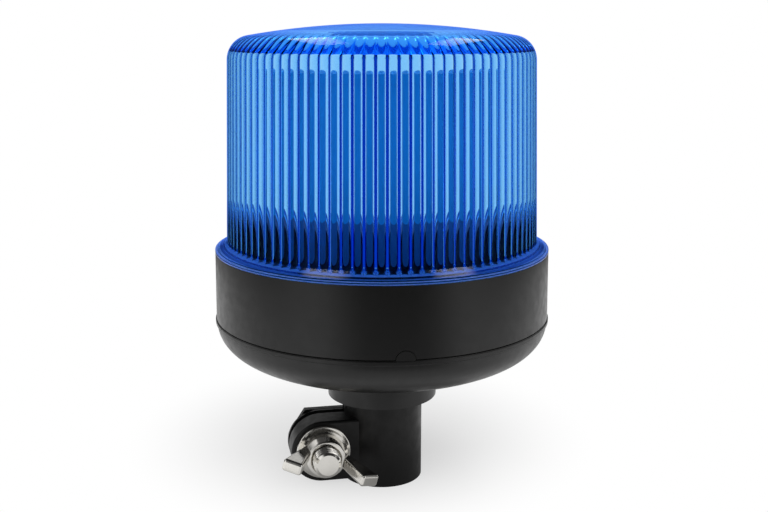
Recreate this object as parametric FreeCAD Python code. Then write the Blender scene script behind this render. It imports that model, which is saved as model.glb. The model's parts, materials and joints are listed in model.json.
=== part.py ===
import FreeCAD, Part
import math
import os

# LED beacon for a 24 mm pole: fluted lens on a two-piece base, with a slit socket that a wing nut clamps.
# Millimetres, +Z up. The origin is the centre of the socket's foot.
# The clamp ears point to -X and the wing nut faces -Y.

V = FreeCAD.Vector
UP = V(0, 0, 1)
FRONT = V(0, -1, 0)
BACK = V(0, 1, 0)
TINY = 0.01

# Overall heights, stacked from the socket's foot
SOCKET_HEIGHT = 38.9
COLLAR_HEIGHT = 14.8
BOWL_DEPTH = 23.3
RING_HEIGHT = 29.0
LENS_HEIGHT = 95.8
COLLAR_Z = SOCKET_HEIGHT
BOWL_Z = COLLAR_Z + COLLAR_HEIGHT
SEAM_Z = BOWL_Z + BOWL_DEPTH
TOP_Z = SEAM_Z + RING_HEIGHT
APEX_Z = TOP_Z + LENS_HEIGHT

# Housing: ring above the seam, bowl below it
BASE_RADIUS = 72.5
RING_FLARE = 0.4
RIM_LIP = 0.4
RIM_HEIGHT = 1.6
BOWL_STEP = 0.6
BOWL_FLAT_RADIUS = 15.6
BOWL_POWER = 2.5
COLLAR_RADIUS = 24.4
HOUSING_WALL = 3.0
SEAM_CHAMFER = 0.4
RING_FOOT_RADIUS = BASE_RADIUS + RING_FLARE
RIM_RADIUS = RING_FOOT_RADIUS + RIM_LIP
BOWL_RADIUS = RIM_RADIUS - BOWL_STEP
BOWL_FLOOR_Z = BOWL_Z + HOUSING_WALL

# Locating tongues of the bowl in the ring's seam
TONGUE_COUNT = 3
TONGUE_RADIUS = 3.85
TONGUE_DEPTH = 0.8
TONGUE_GAP = 0.25
TONGUE_AZIMUTH = -94.0

# Housing seal in the bowl's rim
SEAL_WIDTH = 1.0
SEAL_HEIGHT = 1.2
SEAL_SIDE_GAP = 0.1
SEAL_OUTER_RADIUS = RING_FOOT_RADIUS - TONGUE_DEPTH - 2 * SEAL_SIDE_GAP
SEAL_INNER_RADIUS = SEAL_OUTER_RADIUS - SEAL_WIDTH

# Screws
SCREW_FIT = 0.05
SCREW_HOLE_GAP = 0.3
HOUSING_SCREW_COUNT = 3
HOUSING_SCREW_AZIMUTH = 79.0
HOUSING_SCREW_RADIUS = 2.0
HOUSING_HEAD_RADIUS = 3.6
HOUSING_HEAD_HEIGHT = 2.6
HOUSING_SCREW_LENGTH = 18.0
HOUSING_BOSS_RADIUS = 4.8
HOUSING_SEAT_DEPTH = 5.0
HOUSING_SCREW_INSET = 2.0
SMALL_SCREW_RADIUS = 1.5
SMALL_HEAD_RADIUS = 2.8
SMALL_HEAD_HEIGHT = 2.0

# Lens
FLANGE_WIDTH = 5.1
FLANGE_EDGE = 1.3
FLANGE_STEP_WIDTH = 1.1
FLANGE_STEP_HEIGHT = 0.5
LENS_FOOT_HEIGHT = 4.6
LENS_LEAN = 2.4
SHOULDER_HEIGHT = 81.0
SHOULDER_RADIUS = 10.4
LENS_WALL = 2.0
CROWN_WALL = 2.6
FLUTE_COUNT = 96
FLUTE_DEPTH = 1.1
FLUTE_FOOT_HEIGHT = 1.0
CORNER_ANGLE = 20.0
CORNER_SLOPE = 22.0
CORNER_RIB = 0.35
LENS_FOOT_RADIUS = BASE_RADIUS - FLANGE_WIDTH
LENS_TOP_RADIUS = LENS_FOOT_RADIUS - LENS_LEAN

# Lens skirt, its snap lugs and its gasket
SKIRT_WALL = 2.0
SKIRT_DEPTH = 4.3
SKIRT_GAP = 0.3
LUG_COUNT = 6
LUG_REACH = 0.7
LUG_HEIGHT = 1.4
LUG_DEPTH = 1.7
LUG_ANGLE = 12.0
LUG_GAP = 0.3
GASKET_HEIGHT = 0.8
RIM_WALL = 3.3
SKIRT_OUTER_RADIUS = BASE_RADIUS - RIM_WALL - SKIRT_GAP
SKIRT_INNER_RADIUS = SKIRT_OUTER_RADIUS - SKIRT_WALL

# Light deck, the floor inside the lens
DECK_THICKNESS = 2.0
DECK_DROP = 4.0
DECK_GAP = 0.4
LEDGE_GAP = 0.5
LEDGE_WIDTH = 6.4
LEDGE_THICKNESS = 5.0
DECK_SCREW_COUNT = 6
DECK_SCREW_LENGTH = 6.4
CABLE_HOLE_RADIUS = 7.0
DECK_TOP_Z = TOP_Z - DECK_DROP
DECK_Z = DECK_TOP_Z - DECK_THICKNESS
LEDGE_OUTER_RADIUS = SKIRT_INNER_RADIUS - LEDGE_GAP
LEDGE_INNER_RADIUS = LEDGE_OUTER_RADIUS - LEDGE_WIDTH
LEDGE_Z = DECK_Z - LEDGE_THICKNESS
DECK_RADIUS = LEDGE_OUTER_RADIUS - DECK_GAP
DECK_SCREW_CIRCLE = LEDGE_INNER_RADIUS + LEDGE_WIDTH / 2
HOUSING_SCREW_CIRCLE = LEDGE_INNER_RADIUS + HOUSING_SCREW_INSET

# Light column
PLINTH_HEIGHT = 18.0
OPTIC_HEIGHT = 57.5
CAP_THICKNESS = 4.0
CAP_SCREW_SINK = 0.2
COLUMN_RADIUS = 22.5
OPTIC_WALL = 3.2
OPTIC_FLUTES = 24
OPTIC_FLUTE_DEPTH = 0.5
CAP_OVERHANG = 0.3
PLINTH_WALL = 3.0
PLINTH_FLOOR = 6.0
PLINTH_SCREW_COUNT = 3
PLINTH_SCREW_LENGTH = 6.5
SINK_APOTHEM = 11.0
SINK_GAP = 0.4
SINK_ROOF = 12.0
CAP_SCREW_LENGTH = 9.0
LED_SIDES = 6
BOARD_WIDTH = 10.6
BOARD_THICKNESS = 1.2
BOARD_MARGIN = 2.0
LED_COUNT = 6
LED_SIZE = 3.0
LED_HEIGHT = 0.9
PLINTH_TOP_Z = DECK_TOP_Z + PLINTH_HEIGHT
OPTIC_TOP_Z = PLINTH_TOP_Z + OPTIC_HEIGHT
CAP_TOP_Z = OPTIC_TOP_Z + CAP_THICKNESS
CAP_SEAT_Z = CAP_TOP_Z - SMALL_HEAD_HEIGHT - CAP_SCREW_SINK
SINK_CORNER_RADIUS = SINK_APOTHEM / math.cos(math.radians(30))
PLINTH_HOLE_RADIUS = SINK_CORNER_RADIUS + SINK_GAP
PLINTH_SCREW_CIRCLE = (PLINTH_HOLE_RADIUS + COLUMN_RADIUS) / 2

# Driver electronics under the deck
DRIVER_GAP = 3.2
DRIVER_THICKNESS = 1.6
DRIVER_DROP = 10.4
STANDOFF_COUNT = 4
STANDOFF_INSET = 8.0
STANDOFF_APOTHEM = 3.0
STANDOFF_STUD = 1.4
DRIVER_SCREW_LENGTH = 7.0
INDUCTOR_RADIUS = 8.0
INDUCTOR_WAIST = 6.2
INDUCTOR_HEIGHT = 9.0
INDUCTOR_FLANGE = 2.0
INDUCTOR_INSET = 24.0
INDUCTOR_Y = 12.0
CAPACITOR_COUNT = 3
CAPACITOR_RADIUS = 5.0
CAPACITOR_HEIGHT = 14.0
CAPACITOR_PITCH = 12.0
CAPACITOR_INSET = 20.0
CAPACITOR_GROOVE = 0.5
TRANSISTOR_COUNT = 4
TRANSISTOR_SIZE = (6.5, 6.0, 2.3)
TRANSISTOR_PITCH = 9.0
TRANSISTOR_INSET = 18.0
CHIP_SIZE = (9.0, 9.0, 1.2)
CHIP_INSET = 30.0
TERMINAL_SIZE = (15.0, 9.0, 11.0)
TERMINAL_INSET = 14.0
TERMINAL_X = 4.0
TERMINAL_HOLE_RADIUS = 1.8
TERMINAL_HOLE_DEPTH = 7.0
TERMINAL_HOLE_PITCH = 7.0
DRIVER_TOP_Z = DECK_Z - DRIVER_DROP
DRIVER_Z = DRIVER_TOP_Z - DRIVER_THICKNESS
DRIVER_RADIUS = HOUSING_SCREW_CIRCLE - HOUSING_BOSS_RADIUS - DRIVER_GAP
STANDOFF_CIRCLE = DRIVER_RADIUS - STANDOFF_INSET
INDUCTOR_PLACE = (DRIVER_RADIUS - INDUCTOR_INSET, INDUCTOR_Y)
CAPACITOR_PLACE = (CAPACITOR_INSET - DRIVER_RADIUS, -CAPACITOR_PITCH * (CAPACITOR_COUNT - 1) / 2)
TRANSISTOR_PLACE = (-TRANSISTOR_PITCH * (TRANSISTOR_COUNT - 1) / 2, DRIVER_RADIUS - TRANSISTOR_INSET)
CHIP_PLACE = (0.0, CHIP_INSET - DRIVER_RADIUS)
TERMINAL_PLACE = (TERMINAL_X, TERMINAL_INSET - DRIVER_RADIUS)

# Pole socket
POLE_RADIUS = 12.0
POLE_GAP = 0.1
SOCKET_RADIUS = 18.0
POLE_DEPTH = 46.0
CHAMBER_HEIGHT = 6.0
CHAMBER_RADIUS = 10.8
SOCKET_COLLAR_GAP = 0.2
SOCKET_FLANGE_THICKNESS = 3.5
SOCKET_SCREW_COUNT = 4
SOCKET_SCREW_AZIMUTH = 45.0
SOCKET_SCREW_LENGTH = 12.0
SOCKET_SEAL_RADIUS = 26.5
SOCKET_SEAL_WIDTH = 2.0
SOCKET_SEAL_HEIGHT = 1.2
SOCKET_SEAL_MARGIN = 2.4
MOUTH_CHAMFER = 0.8
SLIT_FRONT_Y = -1.5
SLIT_REAR_Y = 2.0
SLIT_HEIGHT = 36.0
BORE_RADIUS = POLE_RADIUS + POLE_GAP
SEAL_GROOVE_INNER = SOCKET_SEAL_RADIUS - SOCKET_SEAL_WIDTH / 2 - SEAL_SIDE_GAP
SEAL_GROOVE_OUTER = SOCKET_SEAL_RADIUS + SOCKET_SEAL_WIDTH / 2 + SEAL_SIDE_GAP
SOCKET_FLANGE_RADIUS = SEAL_GROOVE_OUTER + SOCKET_SEAL_MARGIN
CHAMBER_TOP_Z = POLE_DEPTH + CHAMBER_HEIGHT
SOCKET_TOP_Z = BOWL_FLOOR_Z + SOCKET_FLANGE_THICKNESS
SOCKET_SCREW_CIRCLE = (SOCKET_RADIUS + SOCKET_COLLAR_GAP + COLLAR_RADIUS) / 2

# Clamp ears, bolt, washer and wing nut
BOLT_X = -29.0
BOLT_Z = 17.5
EAR_RADIUS = 14.0
EAR_DROP = 0.7
EAR_ROUND = 1.2
FRONT_EAR_THICKNESS = 11.1
REAR_EAR_THICKNESS = 4.6
REAR_LUG_STEP = 1.6
REAR_LUG_HEIGHT = 26.8
REAR_LUG_CORNER = 6.0
REAR_LUG_REACH = 14.7
REAR_LUG_ROUND = 6.0
BOLT_RADIUS = 6.0
BOLT_HOLE_GAP = 0.5
BOLT_REACH = 16.4
BOLT_CHAMFER = 1.4
HEAD_APOTHEM = 9.0
HEAD_HEIGHT = 7.5
HEAD_RIB_GAP = 0.2
HEAD_RIB_WALL = 2.4
HEAD_RIB_HEIGHT = 4.0
WASHER_RADIUS = 12.0
WASHER_THICKNESS = 2.2
WASHER_HOLE_GAP = 0.4
WASHER_ROUND = 0.5
NUT_HEIGHT = 8.4
NUT_COLLAR_RADIUS = 10.4
NUT_COLLAR_HEIGHT = 1.6
NUT_FOOT_RADIUS = 9.4
NUT_TOP_RADIUS = 8.4
NUT_ROUND = 0.6
NUT_MOUTH = 0.8
NUT_THREAD_GAP = 0.06
WING_THICKNESS = 5.2
WING_WIDTH = 8.8
WING_SPAN = 42.4
WING_RISE = 25.0
WING_LEAN = 24.0
WING_TURN = 15.5
WING_ROUND = 1.2
WING_ROOT_WALL = 1.2
FRONT_EAR_Y = SLIT_FRONT_Y - FRONT_EAR_THICKNESS
REAR_EAR_Y = SLIT_REAR_Y + REAR_EAR_THICKNESS
WASHER_Y = FRONT_EAR_Y - WASHER_THICKNESS
NUT_Y = WASHER_Y - NUT_HEIGHT
BOLT_END_Y = FRONT_EAR_Y - BOLT_REACH

# Supply contacts at the top of the socket
WEB_THICKNESS = 3.2
WEB_HOLE_RADIUS = 6.0
CARRIER_GAP = 0.3
CARRIER_HEIGHT = 8.8
SPIGOT_GAP = 0.2
PIN_RADIUS = 2.0
PIN_FIT = 0.08
PIN_REACH = 3.0
PIN_TIP = 0.8
PIN_HEAD_RADIUS = 2.6
PIN_HEAD_HEIGHT = 1.5
PIN_HEAD_GAP = 0.3
PIN_GUIDE = 2.6
SPRING_LENGTH = 6.4
SPRING_RADIUS = 2.1
SPRING_WIRE = 0.4
SPRING_TURNS = 4.0
CARRIER_SCREW_COUNT = 2
CARRIER_SCREW_CIRCLE = 8.2
CARRIER_SCREW_BITE = 2.4
EARTH_INNER_RADIUS = 7.0
EARTH_THICKNESS = 0.8
WEB_TOP_Z = CHAMBER_TOP_Z + WEB_THICKNESS
CARRIER_TOP_Z = WEB_TOP_Z + CARRIER_HEIGHT
CARRIER_RADIUS = BORE_RADIUS - CARRIER_GAP
PIN_HEAD_Z = CHAMBER_TOP_Z + PIN_GUIDE
SPRING_Z = PIN_HEAD_Z + PIN_HEAD_HEIGHT
SPRING_TOP_Z = SPRING_Z + SPRING_LENGTH


def cylinder(radius, bottom, top, x=0.0, y=0.0):
    return Part.makeCylinder(radius, top - bottom, V(x, y, bottom))


def ring(inner, outer, bottom, top):
    return cylinder(outer, bottom, top).cut(cylinder(inner, bottom, top))


def box(x0, x1, y0, y1, z0, z1):
    return Part.makeBox(x1 - x0, y1 - y0, z1 - z0, V(x0, y0, z0))


def polygon_wire(points):
    return Part.makePolygon(points + points[:1])


def revolve_polygon(profile):
    """Turn a closed outline of (radius, height) points about the axis."""
    wire = polygon_wire([V(r, 0, z) for r, z in profile])
    return Part.Face(wire).revolve(V(0, 0, 0), UP, 360)


def hexagon_prism(apothem, centre, direction, length, first_corner):
    """Six-sided bar from centre along direction, with one corner towards first_corner."""
    corner = V(first_corner).normalize() * (apothem / math.cos(math.radians(30)))
    turn = FreeCAD.Rotation(direction, 60)
    points = []
    for _ in range(6):
        points.append(centre + corner)
        corner = turn.multVec(corner)
    return Part.Face(polygon_wire(points)).extrude(V(direction) * length)


def turned(shape, degrees):
    copy = shape.copy()
    copy.rotate(V(0, 0, 0), UP, degrees)
    return copy


def around(shape, count, first=0.0):
    """Copies of a shape at equal steps about the axis."""
    return [turned(shape, first + 360.0 * i / count) for i in range(count)]


def screw(x, z, direction, length, shank, head, head_height):
    """Plain screw whose head rests on height z, with its shank along direction (+1 up, -1 down)."""
    body = Part.makeCylinder(shank, length, V(x, 0, z), UP * direction)
    return body.fuse(Part.makeCylinder(head, head_height, V(x, 0, z), UP * -direction))


def small_screws(circle, z, direction, length, count, first=0.0):
    one = screw(circle, z, direction, length, SMALL_SCREW_RADIUS, SMALL_HEAD_RADIUS, SMALL_HEAD_HEIGHT)
    return Part.makeCompound(around(one, count, first))


def holes(radius, circle, bottom, top, count, first=0.0):
    return around(cylinder(radius, bottom, top, circle), count, first)


def drilled(shape, cutters):
    return shape.cut(Part.makeCompound(cutters))


def superellipse(radius, depth, start_height):
    """Meridian of the bowl from its rim, start_height below the seam, to its flat middle."""
    reach = radius - BOWL_FLAT_RADIUS
    start = math.asin((start_height / depth) ** (BOWL_POWER / 2))
    steps = 7
    points = []
    for i in range(steps + 1):
        angle = start + (math.pi / 2 - start) * i / steps
        r = BOWL_FLAT_RADIUS + reach * max(math.cos(angle), 0.0) ** (2 / BOWL_POWER)
        points.append(V(r, 0, SEAM_Z - depth * math.sin(angle) ** (2 / BOWL_POWER)))
    curve = Part.BSplineCurve()
    curve.interpolate(points)
    return curve.toShape(), points


def bowl_solid(radius, depth, top_points, start_height):
    """Solid under the bowl's meridian, closed at the seam by top_points from the axis to the rim."""
    curve, points = superellipse(radius, depth, start_height)
    middle = V(0, 0, points[-1].z)
    outline = Part.makePolygon([points[-1], middle] + top_points + [points[0]])
    return Part.Face(Part.Wire([curve] + outline.Edges)).revolve(V(0, 0, 0), UP, 360)


def tongues(radius, bottom):
    """Half-round keys that stand on the seam, flush with the ring's outer face."""
    inner = RING_FOOT_RADIUS - TONGUE_DEPTH
    key = Part.makeCylinder(radius, 2 * TONGUE_DEPTH, V(inner, 0, SEAM_Z), V(1, 0, 0))
    upper = box(inner, inner + 2 * TONGUE_DEPTH, -radius, radius, bottom, SEAM_Z + radius)
    return around(key.common(upper), TONGUE_COUNT, TONGUE_AZIMUTH)


def make_base_bowl():
    outer = bowl_solid(BOWL_RADIUS, BOWL_DEPTH, [
        V(0, 0, SEAM_Z),
        V(RIM_RADIUS - SEAM_CHAMFER, 0, SEAM_Z),
        V(RIM_RADIUS, 0, SEAM_Z - SEAM_CHAMFER),
        V(RIM_RADIUS, 0, SEAM_Z - RIM_HEIGHT),
    ], RIM_HEIGHT + BOWL_STEP)
    inside_radius = BOWL_RADIUS - HOUSING_WALL
    inner = bowl_solid(inside_radius, BOWL_DEPTH - HOUSING_WALL, [
        V(0, 0, SEAM_Z),
        V(inside_radius, 0, SEAM_Z),
    ], BOWL_STEP)
    collar = cylinder(COLLAR_RADIUS, COLLAR_Z, BOWL_FLOOR_Z)
    boss = cylinder(HOUSING_BOSS_RADIUS, BOWL_Z, SEAM_Z, HOUSING_SCREW_CIRCLE)
    hollow = inner.cut(around(boss, HOUSING_SCREW_COUNT, HOUSING_SCREW_AZIMUTH))
    bowl = outer.cut(hollow).fuse(collar)
    key_limit = cylinder(RING_FOOT_RADIUS, SEAM_Z - TONGUE_RADIUS, SEAM_Z + TONGUE_RADIUS)
    keys = [key.common(key_limit) for key in tongues(TONGUE_RADIUS, SEAM_Z - RIM_HEIGHT)]
    bowl = bowl.fuse(keys)
    seal_groove = ring(SEAL_INNER_RADIUS - SEAL_SIDE_GAP, SEAL_OUTER_RADIUS + SEAL_SIDE_GAP,
                       SEAM_Z - SEAL_HEIGHT, SEAM_Z)
    seat_z = SEAM_Z - HOUSING_SEAT_DEPTH
    shank_hole = cylinder(HOUSING_SCREW_RADIUS + SCREW_HOLE_GAP, seat_z, SEAM_Z, HOUSING_SCREW_CIRCLE)
    head_pocket = cylinder(HOUSING_HEAD_RADIUS + SCREW_HOLE_GAP, COLLAR_Z, seat_z, HOUSING_SCREW_CIRCLE)
    flange_seat = cylinder(SOCKET_FLANGE_RADIUS + SOCKET_COLLAR_GAP, BOWL_FLOOR_Z, SEAM_Z)
    cutters = [
        cylinder(SOCKET_RADIUS + SOCKET_COLLAR_GAP, COLLAR_Z, BOWL_FLOOR_Z),
        flange_seat,
        seal_groove,
    ]
    cutters += around(shank_hole, HOUSING_SCREW_COUNT, HOUSING_SCREW_AZIMUTH)
    cutters += around(head_pocket, HOUSING_SCREW_COUNT, HOUSING_SCREW_AZIMUTH)
    pilot_z = SOCKET_TOP_Z - SOCKET_SCREW_LENGTH
    cutters += holes(SMALL_SCREW_RADIUS + SCREW_FIT, SOCKET_SCREW_CIRCLE, pilot_z, BOWL_FLOOR_Z,
                     SOCKET_SCREW_COUNT, SOCKET_SCREW_AZIMUTH)
    return bowl.cut(cutters)


def make_base_ring():
    lip = SKIRT_OUTER_RADIUS + SKIRT_GAP
    groove = lip + LUG_REACH + LUG_GAP
    groove_top = TOP_Z - LUG_DEPTH + LUG_GAP
    groove_bottom = TOP_Z - LUG_DEPTH - LUG_HEIGHT - LUG_GAP
    gasket_z = TOP_Z - SKIRT_DEPTH - GASKET_HEIGHT
    wall_inner = RING_FOOT_RADIUS - HOUSING_WALL
    body = revolve_polygon([
        (RING_FOOT_RADIUS - SEAM_CHAMFER, SEAM_Z),
        (RING_FOOT_RADIUS, SEAM_Z + SEAM_CHAMFER),
        (BASE_RADIUS, TOP_Z),
        (lip, TOP_Z),
        (lip, groove_top),
        (groove, groove_top),
        (groove, groove_bottom),
        (lip, groove_bottom),
        (lip, gasket_z),
        (LEDGE_OUTER_RADIUS, gasket_z),
        (LEDGE_OUTER_RADIUS, DECK_Z),
        (LEDGE_INNER_RADIUS, DECK_Z),
        (LEDGE_INNER_RADIUS, LEDGE_Z),
        (wall_inner, LEDGE_Z),
        (wall_inner, SEAM_Z),
    ])
    boss = cylinder(HOUSING_BOSS_RADIUS, SEAM_Z, LEDGE_Z, HOUSING_SCREW_CIRCLE)
    body = body.fuse(around(boss, HOUSING_SCREW_COUNT, HOUSING_SCREW_AZIMUTH))
    pilot_top = SEAM_Z - HOUSING_SEAT_DEPTH + HOUSING_SCREW_LENGTH
    cutters = holes(HOUSING_SCREW_RADIUS + SCREW_FIT, HOUSING_SCREW_CIRCLE, SEAM_Z, pilot_top,
                    HOUSING_SCREW_COUNT, HOUSING_SCREW_AZIMUTH)
    cutters += holes(SMALL_SCREW_RADIUS + SCREW_HOLE_GAP, DECK_SCREW_CIRCLE, LEDGE_Z, DECK_Z,
                     DECK_SCREW_COUNT)
    cutters += tongues(TONGUE_RADIUS + TONGUE_GAP, SEAM_Z)
    return body.cut(cutters)


def make_housing_seal():
    return ring(SEAL_INNER_RADIUS, SEAL_OUTER_RADIUS, SEAM_Z - SEAL_HEIGHT, SEAM_Z)


def make_housing_screws():
    one = screw(HOUSING_SCREW_CIRCLE, SEAM_Z - HOUSING_SEAT_DEPTH, 1, HOUSING_SCREW_LENGTH,
                HOUSING_SCREW_RADIUS, HOUSING_HEAD_RADIUS, HOUSING_HEAD_HEIGHT)
    return Part.makeCompound(around(one, HOUSING_SCREW_COUNT, HOUSING_SCREW_AZIMUTH))


class LensMeridian:
    """Half section of the lens: drafted wall, round shoulder and shallow crown, each tangent to the next."""

    def __init__(self):
        self.foot = (LENS_FOOT_RADIUS, TOP_Z + LENS_FOOT_HEIGHT)
        self.spring = (LENS_TOP_RADIUS, TOP_Z + SHOULDER_HEIGHT)
        lean = self.foot[0] - self.spring[0]
        self.draft = math.atan2(lean, self.spring[1] - self.foot[1])
        self.centre = (self.spring[0] - SHOULDER_RADIUS * math.cos(self.draft),
                       self.spring[1] - SHOULDER_RADIUS * math.sin(self.draft))
        rise = APEX_Z - self.centre[1]
        chord = self.centre[0] ** 2 + rise ** 2 - SHOULDER_RADIUS ** 2
        self.crown_radius = chord / (2 * (rise - SHOULDER_RADIUS))
        self.crown_z = APEX_Z - self.crown_radius
        self.crown_angle = math.atan2(self.centre[1] - self.crown_z, self.centre[0])

    def shoulder(self, offset, angle):
        """Point on the shoulder, offset inwards, at an angle above the horizontal."""
        reach = SHOULDER_RADIUS - offset
        return (self.centre[0] + reach * math.cos(angle), self.centre[1] + reach * math.sin(angle))

    def crown(self, offset, radius):
        """Height of the crown, offset inwards, at a distance from the axis."""
        return self.crown_z + math.sqrt((self.crown_radius - offset) ** 2 - radius ** 2)

    def wall_radius(self, z):
        return self.spring[0] + (self.spring[1] - z) * math.tan(self.draft)

    def slope_end(self, corner, rise):
        """Distance from the axis at which a slope that rises from the corner meets the crown's inside."""
        inside = self.crown_radius - CROWN_WALL
        height = corner[1] + corner[0] * rise - self.crown_z
        steepness = 1 + rise ** 2
        spread = math.sqrt((height * rise) ** 2 - steepness * (height ** 2 - inside ** 2))
        return (height * rise - spread) / steepness


def lens_outer(meridian):
    skirt_z = TOP_Z - SKIRT_DEPTH
    step_radius = BASE_RADIUS - FLANGE_STEP_WIDTH
    crown_edge = meridian.shoulder(0, meridian.crown_angle)
    shoulder_middle = meridian.shoulder(0, (meridian.crown_angle + meridian.draft) / 2)
    crown_middle = crown_edge[0] / 2
    corners = [
        (0, skirt_z),
        (SKIRT_OUTER_RADIUS, skirt_z),
        (SKIRT_OUTER_RADIUS, TOP_Z),
        (BASE_RADIUS, TOP_Z),
        (BASE_RADIUS, TOP_Z + FLANGE_EDGE),
        (step_radius, TOP_Z + FLANGE_EDGE),
        (step_radius, TOP_Z + FLANGE_EDGE + FLANGE_STEP_HEIGHT),
        meridian.foot,
        meridian.spring,
    ]
    edges = Part.makePolygon([V(r, 0, z) for r, z in corners]).Edges
    spring, middle, edge = [V(r, 0, z) for r, z in (meridian.spring, shoulder_middle, crown_edge)]
    edges.append(Part.Arc(spring, middle, edge).toShape())
    apex = V(0, 0, APEX_Z)
    edges.append(Part.Arc(edge, V(crown_middle, 0, meridian.crown(0, crown_middle)), apex).toShape())
    edges.append(Part.makeLine(apex, V(0, 0, skirt_z)))
    return Part.Face(Part.Wire(edges)).revolve(V(0, 0, 0), UP, 360)


def flute_ring(groove, crest):
    """Closed wire of arcs: groove and crest are (radius, height) points of the meridian."""
    half = math.pi / FLUTE_COUNT

    def place(point, angle):
        return V(point[0] * math.cos(angle), point[0] * math.sin(angle), point[1])

    arcs = []
    for i in range(FLUTE_COUNT):
        middle = 2 * half * i
        arc = Part.Arc(place(groove, middle - half), place(crest, middle), place(groove, middle + half))
        arcs.append(arc.toShape())
    return Part.Wire(arcs)


def lens_inside(meridian):
    """Hollow of the lens: fluted wall, ribbed slope under the shoulder and plain crown."""
    foot_z = TOP_Z + FLUTE_FOOT_HEIGHT
    wires = []
    for z in (foot_z, meridian.centre[1]):
        groove = meridian.wall_radius(z) - LENS_WALL
        wires.append(flute_ring((groove, z), (groove - FLUTE_DEPTH, z)))
    corner = meridian.shoulder(LENS_WALL, math.radians(CORNER_ANGLE))
    rise = math.tan(math.radians(CORNER_SLOPE))
    crest = (corner[0] - FLUTE_DEPTH, corner[1] + FLUTE_DEPTH * rise - CORNER_RIB)
    wires.append(flute_ring(corner, crest))
    end_radius = meridian.slope_end(corner, rise)
    end_z = meridian.crown(CROWN_WALL, end_radius)
    wires.append(flute_ring((end_radius, end_z), (end_radius, end_z)))
    fluted = Part.makeLoft(wires, True, True)
    middle = end_radius / 2
    rim = V(end_radius, 0, end_z)
    top = V(0, 0, meridian.crown(CROWN_WALL, 0))
    dome = Part.Arc(rim, V(middle, 0, meridian.crown(CROWN_WALL, middle)), top).toShape()
    under = Part.makePolygon([top, V(0, 0, end_z), rim])
    crown = Part.Face(Part.Wire([dome] + under.Edges)).revolve(V(0, 0, 0), UP, 360)
    skirt = cylinder(SKIRT_INNER_RADIUS, TOP_Z - SKIRT_DEPTH, foot_z)
    return fluted, crown, skirt


def make_lens_dome():
    meridian = LensMeridian()
    lens = lens_outer(meridian)
    for hollow in lens_inside(meridian):
        lens = lens.cut(hollow)
    lug_top = TOP_Z - LUG_DEPTH
    lug_profile = polygon_wire([V(r, 0, z) for r, z in (
        (SKIRT_OUTER_RADIUS - SKIRT_WALL / 2, lug_top - LUG_HEIGHT),
        (SKIRT_OUTER_RADIUS + LUG_REACH, lug_top - LUG_HEIGHT / 2),
        (SKIRT_OUTER_RADIUS + LUG_REACH, lug_top),
        (SKIRT_OUTER_RADIUS - SKIRT_WALL / 2, lug_top),
    )])
    lug = Part.Face(lug_profile).revolve(V(0, 0, 0), UP, LUG_ANGLE)
    return lens.fuse(around(lug, LUG_COUNT))


def make_lens_gasket():
    top = TOP_Z - SKIRT_DEPTH
    return ring(SKIRT_INNER_RADIUS, SKIRT_OUTER_RADIUS, top - GASKET_HEIGHT, top)


def make_light_deck():
    deck = cylinder(DECK_RADIUS, DECK_Z, DECK_TOP_Z)
    pilot = SMALL_SCREW_RADIUS + SCREW_FIT
    cutters = [cylinder(CABLE_HOLE_RADIUS, DECK_Z, DECK_TOP_Z)]
    cutters += holes(pilot, DECK_SCREW_CIRCLE, DECK_Z, LEDGE_Z + DECK_SCREW_LENGTH, DECK_SCREW_COUNT)
    cutters += holes(SMALL_SCREW_RADIUS + SCREW_HOLE_GAP, PLINTH_SCREW_CIRCLE, DECK_Z, DECK_TOP_Z,
                     PLINTH_SCREW_COUNT)
    cutters += holes(pilot, STANDOFF_CIRCLE, DECK_Z, DECK_Z + STANDOFF_STUD, STANDOFF_COUNT,
                     SOCKET_SCREW_AZIMUTH)
    return drilled(deck, cutters)


def make_column_plinth():
    plinth = ring(COLUMN_RADIUS - PLINTH_WALL, COLUMN_RADIUS, DECK_TOP_Z, PLINTH_TOP_Z)
    floor_top = DECK_TOP_Z + PLINTH_FLOOR
    plinth = plinth.fuse(ring(PLINTH_HOLE_RADIUS, COLUMN_RADIUS - PLINTH_WALL / 2, DECK_TOP_Z, floor_top))
    pilot_top = DECK_Z + PLINTH_SCREW_LENGTH
    pilots = holes(SMALL_SCREW_RADIUS + SCREW_FIT, PLINTH_SCREW_CIRCLE, DECK_TOP_Z, pilot_top,
                   PLINTH_SCREW_COUNT)
    return drilled(plinth, pilots)


def make_heat_sink():
    height = OPTIC_TOP_Z - DECK_TOP_Z
    column = hexagon_prism(SINK_APOTHEM, V(0, 0, DECK_TOP_Z), UP, height, V(1, 0, 0))
    wire_way = cylinder(CABLE_HOLE_RADIUS, DECK_TOP_Z, OPTIC_TOP_Z - SINK_ROOF)
    pilot = cylinder(SMALL_SCREW_RADIUS + SCREW_FIT, CAP_SEAT_Z - CAP_SCREW_LENGTH, OPTIC_TOP_Z)
    return drilled(column, [wire_way, pilot])


def led_side(shape, index):
    """Copy of a shape on face index of the heat sink, from its place on the face towards +X."""
    return turned(shape, 360.0 / LED_SIDES * (index + 0.5))


def make_led_board(index):
    board = box(SINK_APOTHEM, SINK_APOTHEM + BOARD_THICKNESS, -BOARD_WIDTH / 2, BOARD_WIDTH / 2,
                PLINTH_TOP_Z + BOARD_MARGIN, OPTIC_TOP_Z - BOARD_MARGIN)
    return led_side(board, index)


def make_led_row(index):
    face = SINK_APOTHEM + BOARD_THICKNESS
    pitch = (OPTIC_HEIGHT - 2 * BOARD_MARGIN) / LED_COUNT
    chips = []
    for i in range(LED_COUNT):
        z = PLINTH_TOP_Z + BOARD_MARGIN + pitch * (i + 0.5)
        chip = box(face, face + LED_HEIGHT, -LED_SIZE / 2, LED_SIZE / 2, z - LED_SIZE / 2, z + LED_SIZE / 2)
        chips.append(led_side(chip, index))
    return Part.makeCompound(chips)


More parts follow.
